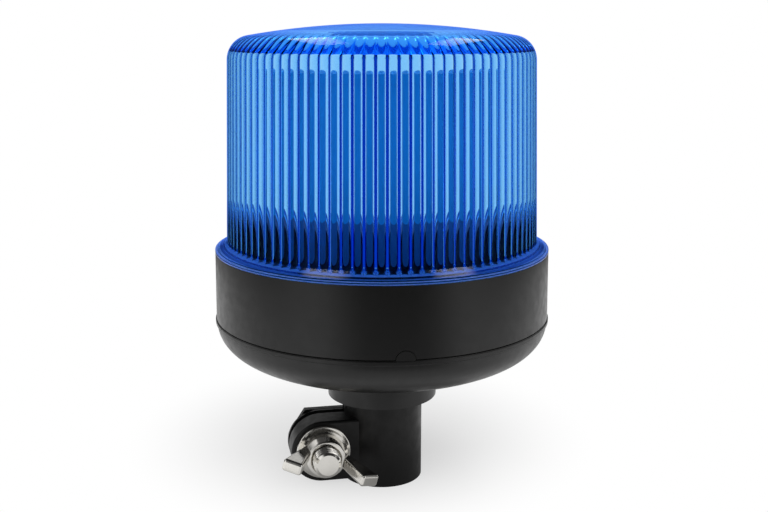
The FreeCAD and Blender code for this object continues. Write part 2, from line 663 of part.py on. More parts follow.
def make_inner_optic():
    half = math.pi / OPTIC_FLUTES
    groove = COLUMN_RADIUS - OPTIC_FLUTE_DEPTH
    arcs = []
    for i in range(OPTIC_FLUTES):
        points = []
        for radius, angle in ((groove, -half), (COLUMN_RADIUS, 0.0), (groove, half)):
            at = 2 * half * i + angle
            points.append(V(radius * math.cos(at), radius * math.sin(at), PLINTH_TOP_Z))
        arcs.append(Part.Arc(*points).toShape())
    body = Part.Face(Part.Wire(arcs)).extrude(UP * OPTIC_HEIGHT)
    return body.cut(cylinder(COLUMN_RADIUS - OPTIC_WALL, PLINTH_TOP_Z, OPTIC_TOP_Z))


def make_optic_cap():
    cap = cylinder(COLUMN_RADIUS + CAP_OVERHANG, OPTIC_TOP_Z, CAP_TOP_Z)
    cutters = [
        cylinder(SMALL_SCREW_RADIUS + SCREW_HOLE_GAP, OPTIC_TOP_Z, CAP_SEAT_Z),
        cylinder(SMALL_HEAD_RADIUS + SCREW_HOLE_GAP, CAP_SEAT_Z, CAP_TOP_Z),
    ]
    return drilled(cap, cutters)


def make_driver_board():
    board = cylinder(DRIVER_RADIUS, DRIVER_Z, DRIVER_TOP_Z)
    cutters = holes(SMALL_SCREW_RADIUS + SCREW_HOLE_GAP, STANDOFF_CIRCLE, DRIVER_Z, DRIVER_TOP_Z,
                    STANDOFF_COUNT, SOCKET_SCREW_AZIMUTH)
    cutters.append(cylinder(CABLE_HOLE_RADIUS, DRIVER_Z, DRIVER_TOP_Z))
    return drilled(board, cutters)


def make_board_standoffs():
    foot = V(STANDOFF_CIRCLE, 0, DRIVER_TOP_Z)
    post = hexagon_prism(STANDOFF_APOTHEM, foot, UP, DRIVER_DROP, V(1, 0, 0))
    post = post.fuse(cylinder(SMALL_SCREW_RADIUS, DECK_Z, DECK_Z + STANDOFF_STUD, STANDOFF_CIRCLE))
    pilot_top = DRIVER_Z + DRIVER_SCREW_LENGTH
    post = post.cut(cylinder(SMALL_SCREW_RADIUS + SCREW_FIT, DRIVER_TOP_Z, pilot_top, STANDOFF_CIRCLE))
    return Part.makeCompound(around(post, STANDOFF_COUNT, SOCKET_SCREW_AZIMUTH))


def under_board(size, place):
    """Block that hangs under the driver board, centred on place."""
    length, width, height = size
    x, y = place
    return box(x - length / 2, x + length / 2, y - width / 2, y + width / 2, DRIVER_Z - height, DRIVER_Z)


def make_driver_inductor():
    x, y = INDUCTOR_PLACE
    bottom = DRIVER_Z - INDUCTOR_HEIGHT
    waist = cylinder(INDUCTOR_WAIST, bottom, DRIVER_Z, x, y)
    upper = cylinder(INDUCTOR_RADIUS, DRIVER_Z - INDUCTOR_FLANGE, DRIVER_Z, x, y)
    lower = cylinder(INDUCTOR_RADIUS, bottom, bottom + INDUCTOR_FLANGE, x, y)
    return waist.fuse([upper, lower])


def make_driver_capacitors():
    x, y = CAPACITOR_PLACE
    cans = []
    for i in range(CAPACITOR_COUNT):
        at = y + i * CAPACITOR_PITCH
        can = cylinder(CAPACITOR_RADIUS, DRIVER_Z - CAPACITOR_HEIGHT, DRIVER_Z, x, at)
        bead = ring(CAPACITOR_RADIUS - CAPACITOR_GROOVE, CAPACITOR_RADIUS + CAPACITOR_GROOVE,
                    DRIVER_Z - 3 * CAPACITOR_GROOVE, DRIVER_Z - CAPACITOR_GROOVE)
        bead.translate(V(x, at, 0))
        cans.append(can.cut(bead))
    return Part.makeCompound(cans)


def make_driver_transistors():
    x, y = TRANSISTOR_PLACE
    places = [(x + i * TRANSISTOR_PITCH, y) for i in range(TRANSISTOR_COUNT)]
    return Part.makeCompound([under_board(TRANSISTOR_SIZE, place) for place in places])


def make_terminal_block():
    block = under_board(TERMINAL_SIZE, TERMINAL_PLACE)
    x, y = TERMINAL_PLACE
    mouth_z = DRIVER_Z - TERMINAL_SIZE[2] / 2
    start_y = y + TERMINAL_SIZE[1] / 2 - TERMINAL_HOLE_DEPTH
    cutters = []
    for side in (-0.5, 0.5):
        start = V(x + side * TERMINAL_HOLE_PITCH, start_y, mouth_z)
        cutters.append(Part.makeCylinder(TERMINAL_HOLE_RADIUS, TERMINAL_HOLE_DEPTH, start, BACK))
    return drilled(block, cutters)


def bolt_cylinder(radius, y_from, y_to):
    """Cylinder on the clamp bolt's axis, from y_from towards -Y to y_to."""
    return Part.makeCylinder(radius, y_from - y_to, V(BOLT_X, y_from, BOLT_Z), FRONT)


def round_ear(y_from, y_to):
    """Ear about the bolt, joined to the tube, from y_from towards -Y to y_to."""
    middle = BOLT_Z - EAR_DROP
    disc = bolt_cylinder(EAR_RADIUS, y_from, y_to).translated(-UP * EAR_DROP)
    neck = box(BOLT_X, 0, y_to, y_from, middle - EAR_RADIUS, middle + EAR_RADIUS)
    return disc.fuse(neck).removeSplitter()


def edges_where(shape, test):
    """Edges whose end points all pass a test."""
    return [edge for edge in shape.Edges if all(test(vertex.Point) for vertex in edge.Vertexes)]


def make_front_ear():
    ear = round_ear(SLIT_FRONT_Y, FRONT_EAR_Y)
    rim = []
    for edge in edges_where(ear, lambda point: abs(point.y - FRONT_EAR_Y) < TINY):
        if edge.BoundBox.XMin < -TINY:
            rim.append(edge)
    return ear.makeFillet(EAR_ROUND, rim)


def make_rear_ear():
    """Thin round ear, backed by a lug with a blunt point, which carries the bolt's head."""
    half = REAR_LUG_HEIGHT / 2
    step_y = SLIT_REAR_Y + REAR_LUG_STEP
    outline = [(0, half), (-REAR_LUG_CORNER, half), (-REAR_LUG_REACH, 0), (-REAR_LUG_CORNER, -half), (0, -half)]
    points = [V(BOLT_X + x, step_y, BOLT_Z + z) for x, z in outline]
    points += [V(0, step_y, BOLT_Z - half), V(0, step_y, BOLT_Z + half)]
    lug = Part.Face(polygon_wire(points)).extrude(BACK * (REAR_EAR_Y - step_y))
    point_x = BOLT_X - REAR_LUG_REACH
    lug = lug.makeFillet(REAR_LUG_ROUND, edges_where(lug, lambda point: abs(point.x - point_x) < TINY))
    return round_ear(step_y, SLIT_REAR_Y).fuse(lug)


def make_pole_socket():
    flange = cylinder(SOCKET_FLANGE_RADIUS, BOWL_FLOOR_Z, SOCKET_TOP_Z)
    pieces = [flange, make_front_ear(), make_rear_ear()]
    rib_half = HEAD_APOTHEM / 2
    for side in (-1, 1):
        near = side * (HEAD_APOTHEM + HEAD_RIB_GAP)
        far = side * (HEAD_APOTHEM + HEAD_RIB_GAP + HEAD_RIB_WALL)
        low, high = sorted((BOLT_Z + near, BOLT_Z + far))
        pieces.append(box(BOLT_X - rib_half, BOLT_X + rib_half, REAR_EAR_Y, REAR_EAR_Y + HEAD_RIB_HEIGHT,
                          low, high))
    socket = cylinder(SOCKET_RADIUS, 0, SOCKET_TOP_Z).fuse(pieces)
    ear_side = -BOLT_X + max(EAR_RADIUS, REAR_LUG_REACH)
    cutters = [
        cylinder(BORE_RADIUS, 0, POLE_DEPTH),
        cylinder(CHAMBER_RADIUS, POLE_DEPTH, CHAMBER_TOP_Z),
        Part.makeCone(BORE_RADIUS + MOUTH_CHAMFER, BORE_RADIUS, MOUTH_CHAMFER),
        cylinder(WEB_HOLE_RADIUS, CHAMBER_TOP_Z, WEB_TOP_Z),
        cylinder(BORE_RADIUS, WEB_TOP_Z, SOCKET_TOP_Z),
        box(-ear_side, 0, SLIT_FRONT_Y, SLIT_REAR_Y, 0, SLIT_HEIGHT),
        bolt_cylinder(BOLT_RADIUS + BOLT_HOLE_GAP, REAR_EAR_Y, FRONT_EAR_Y),
        ring(SEAL_GROOVE_INNER, SEAL_GROOVE_OUTER, BOWL_FLOOR_Z, BOWL_FLOOR_Z + SOCKET_SEAL_HEIGHT),
    ]
    cutters += holes(SMALL_SCREW_RADIUS + SCREW_HOLE_GAP, SOCKET_SCREW_CIRCLE, BOWL_FLOOR_Z, SOCKET_TOP_Z,
                     SOCKET_SCREW_COUNT, SOCKET_SCREW_AZIMUTH)
    cutters += holes(SMALL_SCREW_RADIUS + SCREW_FIT, CARRIER_SCREW_CIRCLE, WEB_TOP_Z - CARRIER_SCREW_BITE,
                     WEB_TOP_Z, CARRIER_SCREW_COUNT)
    return socket.cut(cutters)


def make_socket_seal():
    half = SOCKET_SEAL_WIDTH / 2
    return ring(SOCKET_SEAL_RADIUS - half, SOCKET_SEAL_RADIUS + half,
                BOWL_FLOOR_Z, BOWL_FLOOR_Z + SOCKET_SEAL_HEIGHT)


def make_contact_carrier():
    body = cylinder(CARRIER_RADIUS, WEB_TOP_Z, CARRIER_TOP_Z)
    body = body.fuse(cylinder(WEB_HOLE_RADIUS - SPIGOT_GAP, CHAMBER_TOP_Z, WEB_TOP_Z))
    cutters = [
        cylinder(PIN_RADIUS + PIN_FIT, CHAMBER_TOP_Z, PIN_HEAD_Z),
        cylinder(PIN_HEAD_RADIUS + PIN_HEAD_GAP, PIN_HEAD_Z, SPRING_TOP_Z),
    ]
    cutters += holes(SMALL_SCREW_RADIUS + SCREW_HOLE_GAP, CARRIER_SCREW_CIRCLE, WEB_TOP_Z, CARRIER_TOP_Z,
                     CARRIER_SCREW_COUNT)
    return drilled(body, cutters)


def make_centre_contact():
    tip_z = CHAMBER_TOP_Z - PIN_REACH
    tip = Part.makeCone(PIN_RADIUS - PIN_TIP, PIN_RADIUS, PIN_TIP, V(0, 0, tip_z))
    shaft = cylinder(PIN_RADIUS, tip_z + PIN_TIP, PIN_HEAD_Z)
    return tip.fuse([shaft, cylinder(PIN_HEAD_RADIUS, PIN_HEAD_Z, SPRING_Z)])


def make_contact_spring():
    half = SPRING_WIRE / 2
    rise = SPRING_LENGTH - SPRING_WIRE
    helix = Part.makeHelix(rise / SPRING_TURNS, rise, SPRING_RADIUS)
    section = polygon_wire([V(SPRING_RADIUS + x, 0, z) for x, z in (
        (-half, -half), (half, -half), (half, half), (-half, half))])
    spring = Part.Wire(helix).makePipeShell([section], True, True)
    spring.translate(V(0, 0, SPRING_Z + half))
    return spring


def make_earth_contact():
    return ring(EARTH_INNER_RADIUS, CHAMBER_RADIUS - CARRIER_GAP,
                CHAMBER_TOP_Z - EARTH_THICKNESS, CHAMBER_TOP_Z)


def make_clamp_bolt():
    shank = bolt_cylinder(BOLT_RADIUS, REAR_EAR_Y, BOLT_END_Y + BOLT_CHAMFER)
    end = Part.makeCone(BOLT_RADIUS, BOLT_RADIUS - BOLT_CHAMFER, BOLT_CHAMFER,
                        V(BOLT_X, BOLT_END_Y + BOLT_CHAMFER, BOLT_Z), FRONT)
    head = hexagon_prism(HEAD_APOTHEM, V(BOLT_X, REAR_EAR_Y, BOLT_Z), BACK, HEAD_HEIGHT, V(1, 0, 0))
    return shank.fuse([end, head])


def make_clamp_washer():
    disc = bolt_cylinder(WASHER_RADIUS, FRONT_EAR_Y, WASHER_Y)
    disc = disc.makeFillet(WASHER_ROUND, edges_where(disc, lambda point: abs(point.y - WASHER_Y) < TINY))
    return disc.cut(bolt_cylinder(BOLT_RADIUS + WASHER_HOLE_GAP, FRONT_EAR_Y, WASHER_Y))


def wing(side):
    """One leaning wing, cut square at its tip, as a plate in the plane of the bolt's axis."""
    lean = math.radians(WING_LEAN)
    tip_y = WASHER_Y - WING_RISE
    outer = (WING_SPAN / 2, tip_y + WING_WIDTH * math.sin(lean))
    inner = (WING_SPAN / 2 - WING_WIDTH * math.cos(lean), tip_y)
    root = BOLT_RADIUS + NUT_THREAD_GAP + WING_ROOT_WALL
    root_y = WASHER_Y - NUT_COLLAR_HEIGHT
    profile = [(root, NUT_Y + NUT_ROUND), inner, outer, (NUT_FOOT_RADIUS, root_y), (root, root_y)]
    half = WING_THICKNESS / 2
    wire = polygon_wire([V(BOLT_X + side * r, y, BOLT_Z - half) for r, y in profile])
    plate = Part.Face(wire).extrude(UP * WING_THICKNESS)
    rim = []
    for edge in plate.Edges:
        middle = edge.CenterOfMass
        if abs(middle.x - BOLT_X) > root + TINY and middle.y < root_y - TINY:
            rim.append(edge)
    return plate.makeFillet(WING_ROUND, rim)


def make_wing_nut():
    hub = Part.makeCone(NUT_FOOT_RADIUS, NUT_TOP_RADIUS, NUT_HEIGHT, V(BOLT_X, WASHER_Y, BOLT_Z), FRONT)
    hub = hub.makeFillet(NUT_ROUND, edges_where(hub, lambda point: abs(point.y - NUT_Y) < TINY))
    nut = hub.fuse([wing(-1), wing(1)])
    nut = nut.fuse(bolt_cylinder(NUT_COLLAR_RADIUS, WASHER_Y, WASHER_Y - NUT_COLLAR_HEIGHT))
    hole = BOLT_RADIUS + NUT_THREAD_GAP
    mouth = Part.makeCone(hole, hole + NUT_MOUTH, NUT_MOUTH, V(BOLT_X, NUT_Y + NUT_MOUTH, BOLT_Z), FRONT)
    nut = nut.cut([bolt_cylinder(hole, WASHER_Y, WASHER_Y - WING_RISE), mouth])
    nut.rotate(V(BOLT_X, 0, BOLT_Z), BACK, WING_TURN)
    return nut


def write_parts(nodes):
    os.makedirs("parts", exist_ok=True)
    for name, shape in nodes.items():
        shape.exportStep(os.path.join("parts", name + ".step"))


def build():
    nodes = {
        "lens_dome": make_lens_dome(),
        "lens_gasket": make_lens_gasket(),
        "base_ring": make_base_ring(),
        "base_bowl": make_base_bowl(),
        "housing_seal": make_housing_seal(),
        "housing_screws": make_housing_screws(),
        "light_deck": make_light_deck(),
        "deck_screws": small_screws(DECK_SCREW_CIRCLE, LEDGE_Z, 1, DECK_SCREW_LENGTH, DECK_SCREW_COUNT),
        "column_plinth": make_column_plinth(),
        "plinth_screws": small_screws(PLINTH_SCREW_CIRCLE, DECK_Z, 1, PLINTH_SCREW_LENGTH,
                                      PLINTH_SCREW_COUNT),
        "heat_sink": make_heat_sink(),
        "inner_optic": make_inner_optic(),
        "optic_cap": make_optic_cap(),
        "cap_screw": small_screws(0, CAP_SEAT_Z, -1, CAP_SCREW_LENGTH, 1),
        "driver_board": make_driver_board(),
        "board_standoffs": make_board_standoffs(),
        "board_screws": small_screws(STANDOFF_CIRCLE, DRIVER_Z, 1, DRIVER_SCREW_LENGTH, STANDOFF_COUNT,
                                     SOCKET_SCREW_AZIMUTH),
        "driver_inductor": make_driver_inductor(),
        "driver_capacitors": make_driver_capacitors(),
        "driver_transistors": make_driver_transistors(),
        "controller_chip": under_board(CHIP_SIZE, CHIP_PLACE),
        "terminal_block": make_terminal_block(),
        "pole_socket": make_pole_socket(),
        "socket_seal": make_socket_seal(),
        "socket_screws": small_screws(SOCKET_SCREW_CIRCLE, SOCKET_TOP_Z, -1, SOCKET_SCREW_LENGTH,
                                      SOCKET_SCREW_COUNT, SOCKET_SCREW_AZIMUTH),
        "contact_carrier": make_contact_carrier(),
        "carrier_screws": small_screws(CARRIER_SCREW_CIRCLE, CARRIER_TOP_Z, -1,
                                       CARRIER_HEIGHT + CARRIER_SCREW_BITE, CARRIER_SCREW_COUNT),
        "centre_contact": make_centre_contact(),
        "contact_spring": make_contact_spring(),
        "earth_contact": make_earth_contact(),
        "clamp_bolt": make_clamp_bolt(),
        "clamp_washer": make_clamp_washer(),
        "wing_nut": make_wing_nut(),
    }
    for index in range(LED_SIDES):
        nodes["led_board_%d" % (index + 1)] = make_led_board(index)
        nodes["led_row_%d" % (index + 1)] = make_led_row(index)
    return nodes


write_parts(build())
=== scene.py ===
import json
import math

import bpy
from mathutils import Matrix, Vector


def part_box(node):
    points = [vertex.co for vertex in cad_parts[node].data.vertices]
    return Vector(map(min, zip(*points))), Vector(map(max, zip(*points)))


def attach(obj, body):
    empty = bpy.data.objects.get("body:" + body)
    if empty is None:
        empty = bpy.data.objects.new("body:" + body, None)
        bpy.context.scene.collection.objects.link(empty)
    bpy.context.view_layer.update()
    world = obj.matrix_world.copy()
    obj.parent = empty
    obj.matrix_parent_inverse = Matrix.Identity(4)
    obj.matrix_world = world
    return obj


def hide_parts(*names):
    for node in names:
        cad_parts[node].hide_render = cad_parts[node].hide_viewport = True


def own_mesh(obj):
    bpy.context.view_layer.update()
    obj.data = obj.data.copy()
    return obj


# Blue beacon on its slit pole socket. Lengths are metres in the frame of the solids: +Z up, the socket's
# foot at the origin, the clamp ears towards -X and the wing nut towards -Y.
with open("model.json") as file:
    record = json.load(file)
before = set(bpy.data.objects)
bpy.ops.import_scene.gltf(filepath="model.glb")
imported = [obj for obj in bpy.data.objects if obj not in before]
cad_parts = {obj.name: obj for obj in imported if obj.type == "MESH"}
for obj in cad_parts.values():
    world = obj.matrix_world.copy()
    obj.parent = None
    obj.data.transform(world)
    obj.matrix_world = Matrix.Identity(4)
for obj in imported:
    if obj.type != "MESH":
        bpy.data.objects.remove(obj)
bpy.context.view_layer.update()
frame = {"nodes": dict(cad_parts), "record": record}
MM = 0.001
WHITE = (1.0, 1.0, 1.0)

# Camera, at the photograph's viewing angle
FOCAL_LENGTH = 46.875
SENSOR_WIDTH = 36.0
CAMERA_AZIMUTH = math.radians(-11.25)
CAMERA_PITCH = math.radians(12.37)
CAMERA_REACH = 431.6 * MM
CAMERA_HEIGHT = 196.3 * MM
CAMERA_SIDESTEP = 0.9 * MM
TO_CAMERA = Vector((math.sin(CAMERA_AZIMUTH), -math.cos(CAMERA_AZIMUTH), 0))
CAMERA_RIGHT = Vector((math.cos(CAMERA_AZIMUTH), math.sin(CAMERA_AZIMUTH), 0))
UP = Vector((0, 0, 1))

# Floor of white paper. A pair of lengths is where a fade starts and ends.
FLOOR_RADIUS = 540 * MM
FLOOR_DROP = 0.05 * MM
FLOOR_COLUMNS = 96
FLOOR_PAPER = 0.5
PAPER_CLOUD = 60 * MM
PAPER_SPREAD = 1.02
# Painted shadow: around a point behind and left of the socket, the glow that the camera sees dips to the
# level below and comes back to full over the span after it. The paper's real shadow lies on top.
PAINTED_SHADOW_GLOW = 0.46
PAINTED_SHADOW_SPAN = (20 * MM, 120 * MM)
PAINTED_SHADOW_LEFT = 12 * MM
PAINTED_SHADOW_BACK = 50 * MM
PAINTED_SHADOW_CENTRE = -CAMERA_RIGHT * PAINTED_SHADOW_LEFT - TO_CAMERA * PAINTED_SHADOW_BACK

# The floor as reflections see it: painted shade by the socket, brighter further out, with a dimmer gap in
# front
MIRROR_PAINTED_SHADE = (45 * MM, 75 * MM)
MIRROR_PAINTED_SHADE_LEVELS = (0.22, 0.74)
MIRROR_FAR = (120 * MM, 200 * MM)
MIRROR_FAR_LEVELS = (1.0, 1.35)
MIRROR_EDGE = (460 * MM, FLOOR_RADIUS)
MIRROR_EDGE_LEVELS = (1.0, 0.0)
# The gap fades in by the cosine of the angle to its direction.
MIRROR_GAP_SIDE = 0.16
MIRROR_GAP_WAY = TO_CAMERA + CAMERA_RIGHT * MIRROR_GAP_SIDE
MIRROR_GAP = (0.76, 0.95)
MIRROR_GAP_DEPTH = 0.65

# Softboxes overhead, each placed by how far it is to the right of the object and behind it
SOFTBOX_WIDTH = 260 * MM
SOFTBOX_LENGTH = 700 * MM
SOFTBOX_HEIGHT = 900 * MM
SOFTBOX_PLACES = ((-290 * MM, 260 * MM), (370 * MM, 260 * MM))
SOFTBOX_POWER = 2.2
# A light is full where its share across the width, times the rest of the width, reaches this.
SOFTBOX_EDGE = 0.22

# World. A turn is a fade by the cosine of the angle to straight behind, and the rise by that to straight up.
WORLD_TURN = (-0.2, 0.95)
WORLD_RISE = (-0.05, 0.6)
WORLD_LOW = 0.03
WORLD_FRONT = 0.05
BACKDROP_TURN = (0.90, 0.98)
POLISHED_BLUE = (0.09, 0.24, 1.0)
THROUGH_TURN = (-0.4, 0.2)
THROUGH_FRONT = (0.01, 0.08, 0.50)

# Soft lights on the camera's side: degrees to the right, degrees up, half width in degrees and strength
FRONT_LIGHTS = (
    (-48, 32, 30, 0.9),
    (62, 32, 30, 0.8),
    (-46, 4, 26, 0.8),
    (54, 4, 26, 0.7),
)

# Lens
SEAT_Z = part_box("base_ring")[1].z
SKIRT_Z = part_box("lens_dome")[0].z
APEX_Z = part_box("lens_dome")[1].z
FLANGE_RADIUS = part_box("lens_dome")[1].x
FLANGE_WIDTH = 5.1 * MM
FLANGE_EDGE = 1.3 * MM
FLANGE_STEP_WIDTH = 1.1 * MM
FLANGE_STEP_HEIGHT = 0.5 * MM
FLANGE_ROUND = 0.25 * MM
LENS_FOOT_HEIGHT = 4.6 * MM
LENS_LEAN = 2.4 * MM
SHOULDER_HEIGHT = 81.0 * MM
SHOULDER_RADIUS = 10.4 * MM
LENS_WALL = 2.0 * MM
CROWN_WALL = 2.6 * MM
FLUTE_COUNT = 96
FLUTE_DEPTH = 1.1 * MM
FLUTE_FOOT_HEIGHT = 1.0 * MM
CORNER_ANGLE = math.radians(20)
CORNER_SLOPE = math.radians(22)
CORNER_RIB = 0.35 * MM
SEAT_GAP = 0.1 * MM
SKIRT_GAP = 3.6 * MM
SKIRT_WALL = 2.0 * MM
FLUTE_COLUMNS = 12
OUTER_SHARE = 4
INNER_COLUMNS = FLUTE_COUNT * FLUTE_COLUMNS
OUTER_COLUMNS = INNER_COLUMNS // OUTER_SHARE

# Lens material: polished and clear, apart from the frosted seat under the flange and the skirt below it
LENS_IOR = 1.585
LENS_SHEEN = (0.25, 0.25, 0.30)
LENS_BLUE = (0.107, 0.677, 0.9955)
LENS_DENSITY = 300.0
POLISH_CLOUD = 9 * MM
POLISH_SPAN = (0.35, 0.75)
POLISH_ROUGHNESS = 0.003
WAVE_SIZE = 14 * MM
WAVE_DEPTH = 0.05 * MM
WAVE_STRENGTH = 0.25
SEAT_BLUE = (0.70, 0.66, 1.0)
SEAT_ROUGHNESS = 0.9
SEAT_FROST = (SEAT_Z + 1.4 * MM, SEAT_Z + 2.0 * MM)
SEAT_FACING = (0.5, 0.9)
SKIRT_FROST = (SEAT_Z - 0.3 * MM, SEAT_Z)

# Grain of the other materials: sizes of the noise in colour and sheen, and strength of the relief
NOISE_SPAN = (0.3, 0.7)
GRAIN_SIZE = 0.35 * MM
GRAIN_DEPTH = 0.012 * MM
PLASTIC_CLOUD = 18 * MM
PLASTIC_SHEEN = 4 * MM
PLASTIC_RELIEF = 0.35
METAL_CLOUD = 5 * MM
METAL_SHEEN = 1.5 * MM
METAL_RELIEF = 0.3

# Clamp bolt
BOLT_LOW, BOLT_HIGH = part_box("clamp_bolt")
BOLT_X = (BOLT_LOW.x + BOLT_HIGH.x) / 2
BOLT_Z = (BOLT_LOW.z + BOLT_HIGH.z) / 2
BOLT_END_Y = BOLT_LOW.y
BOLT_RADIUS = 6.0 * MM
BOLT_CHAMFER = 1.4 * MM
THREAD_PITCH = 1.75 * MM
THREAD_DEPTH = 1.05 * MM
THREAD_LENGTH = 26.0 * MM
THREAD_CREST_SHARE = 0.12
THREAD_FLANK_SHARE = 0.72
HEAD_HEIGHT = 7.5 * MM
HEAD_APOTHEM = 9.0 * MM
THREAD_COLUMNS = 72
THREAD_ROWS_PER_TURN = 12

SHARP_ANGLE = math.radians(35)


def link(thing):
    bpy.context.scene.collection.objects.link(thing)
    return thing


def make_camera():
    data = bpy.data.cameras.new("camera")
    data.lens = FOCAL_LENGTH
    data.sensor_width = SENSOR_WIDTH
    camera = link(bpy.data.objects.new("camera", data))
    camera.location = TO_CAMERA * CAMERA_REACH + CAMERA_RIGHT * CAMERA_SIDESTEP + UP * CAMERA_HEIGHT
    camera.rotation_euler = (math.pi / 2 - CAMERA_PITCH, 0, CAMERA_AZIMUTH)
    bpy.context.scene.camera = camera


class Nodes:
    """Short ways to build a node tree."""

    def __init__(self, tree):
        self.tree = tree

    def add(self, kind, **settings):
        node = self.tree.nodes.new("ShaderNode" + kind)
        for name, value in settings.items():
            setattr(node, name, value)
        return node

    def put(self, socket, value):
        """Link an output into a socket, or set the socket's own value."""
        if isinstance(value, bpy.types.NodeSocket):
            self.tree.links.new(value, socket)
        elif isinstance(value, tuple) and len(value) == 3 and socket.type == "RGBA":
            socket.default_value = (*value, 1.0)
        else:
            socket.default_value = value

    def math(self, operation, a, b=0.0):
        node = self.add("Math", operation=operation)
        self.put(node.inputs[0], a)
        self.put(node.inputs[1], b)
        return node.outputs[0]

    def ramp(self, value, low, high, start=0.0, end=1.0):
        """Smooth step of value from low to high, spread from start to end."""
        node = self.add("MapRange", interpolation_type="SMOOTHSTEP")
        self.put(node.inputs["Value"], value)
        self.put(node.inputs["From Min"], low)
        self.put(node.inputs["From Max"], high)
        self.put(node.inputs["To Min"], start)
        self.put(node.inputs["To Max"], end)
        return node.outputs["Result"]

    def towards(self, vector, direction):
        node = self.add("VectorMath", operation="DOT_PRODUCT")
        self.put(node.inputs[0], vector)
        self.put(node.inputs[1], tuple(Vector(direction).normalized()))
        return node.outputs["Value"]

    def coordinates(self, kind):
        return self.add("TexCoord").outputs[kind]

    def distance(self, point):
        node = self.add("VectorMath", operation="DISTANCE")
        self.put(node.inputs[0], self.coordinates("Object"))
        self.put(node.inputs[1], tuple(point))
        return node.outputs["Value"]

    def noise(self, size, detail=2.0, stretch=None):
        """Noise whose features are about size across, stretched along an axis if asked."""
        place = self.coordinates("Object")
        if stretch:
            mapping = self.add("Mapping")
            self.put(mapping.inputs["Vector"], place)
            self.put(mapping.inputs["Scale"], Vector(stretch))
            place = mapping.outputs["Vector"]
        node = self.add("TexNoise")
        self.put(node.inputs["Vector"], place)
        self.put(node.inputs["Scale"], 1 / size)
        self.put(node.inputs["Detail"], detail)
        return node.outputs["Fac"]

    def tint(self, factor, dark, light):
        node = self.add("Mix", data_type="RGBA")
        self.put(node.inputs["Factor"], factor)
        self.put(node.inputs["A"], dark)
        self.put(node.inputs["B"], light)
        return node.outputs["Result"]

    def bump(self, height, depth, strength):
        node = self.add("Bump")
        self.put(node.inputs["Height"], height)
        self.put(node.inputs["Distance"], depth)
        self.put(node.inputs["Strength"], strength)
        return node.outputs["Normal"]


def make_world():
    """White behind and above the object and dim on the camera's side, apart from the front lights.

    What the camera sees, and what the lens lets through from behind, is plain white. Rays that leave the lens
    towards the camera's side see a dim blue. Polished reflections see the studio in blue, brightest behind.
    """
    world = bpy.data.worlds.new("studio")
    world.use_nodes = True
    world.node_tree.nodes.clear()
    bpy.context.scene.world = world
    nodes = Nodes(world.node_tree)
    way = nodes.coordinates("Generated")
    path = nodes.add("LightPath")
    polished = path.outputs["Is Singular Ray"]
    behind = nodes.towards(way, -TO_CAMERA)
    raised = nodes.ramp(nodes.towards(way, UP), *WORLD_RISE, WORLD_LOW, 1.0)
    level = nodes.math("MULTIPLY", raised, nodes.ramp(behind, *WORLD_TURN, WORLD_FRONT, 1.0))
    backdrop = nodes.math("MULTIPLY", polished, nodes.ramp(behind, *BACKDROP_TURN))
    level = nodes.math("MAXIMUM", level, backdrop)
    for angle, height, width, strength in FRONT_LIGHTS:
        turn = math.radians(angle)
        flat_way = TO_CAMERA * math.cos(turn) + CAMERA_RIGHT * math.sin(turn)
        nearness = nodes.towards(way, flat_way + UP * math.tan(math.radians(height)))
        light = nodes.ramp(nearness, math.cos(math.radians(width)), 1.0, 0.0, strength)
        level = nodes.math("ADD", level, light)
    through = nodes.math("MAXIMUM", nodes.ramp(behind, *THROUGH_TURN), path.outputs["Diffuse Depth"])
    through = nodes.math("MAXIMUM", through, path.outputs["Is Camera Ray"])
    seen = nodes.math("MAXIMUM", path.outputs["Is Camera Ray"], path.outputs["Is Transmission Ray"])
    seen_colour = nodes.tint(through, THROUGH_FRONT, WHITE)
    mirrored_colour = nodes.tint(polished, WHITE, POLISHED_BLUE)
    brightness = nodes.add("Mix", data_type="FLOAT")
    nodes.put(brightness.inputs["Factor"], seen)
    nodes.put(brightness.inputs["A"], level)
    nodes.put(brightness.inputs["B"], 1.0)
    background = nodes.add("Background")
    nodes.put(background.inputs["Color"], nodes.tint(seen, mirrored_colour, seen_colour))
    nodes.put(background.inputs["Strength"], brightness.outputs["Result"])
    output = nodes.add("OutputWorld")
    nodes.put(output.inputs["Surface"], background.outputs["Background"])


def make_softboxes():
    """Two long lights overhead, to the left and to the right of the object, that fade across their width."""
    for index, (right, back) in enumerate(SOFTBOX_PLACES):
        data = bpy.data.lights.new("softbox_%d" % (index + 1), "AREA")
        data.shape = "RECTANGLE"
        data.size = SOFTBOX_WIDTH
        data.size_y = SOFTBOX_LENGTH
        data.energy = SOFTBOX_POWER
        data.use_nodes = True
        nodes = Nodes(data.node_tree)
        split = nodes.add("SeparateXYZ")
        nodes.put(split.inputs["Vector"], nodes.add("NewGeometry").outputs["Parametric"])
        across = split.outputs["X"]
        inner = nodes.math("MULTIPLY", across, nodes.math("SUBTRACT", 1.0, across))
        emission = data.node_tree.nodes["Emission"]
        nodes.put(emission.inputs["Strength"], nodes.ramp(inner, 0.0, SOFTBOX_EDGE))
        lamp = link(bpy.data.objects.new(data.name, data))
        lamp.location = CAMERA_RIGHT * right - TO_CAMERA * back + UP * SOFTBOX_HEIGHT
        lamp.rotation_euler = (0, 0, CAMERA_AZIMUTH)


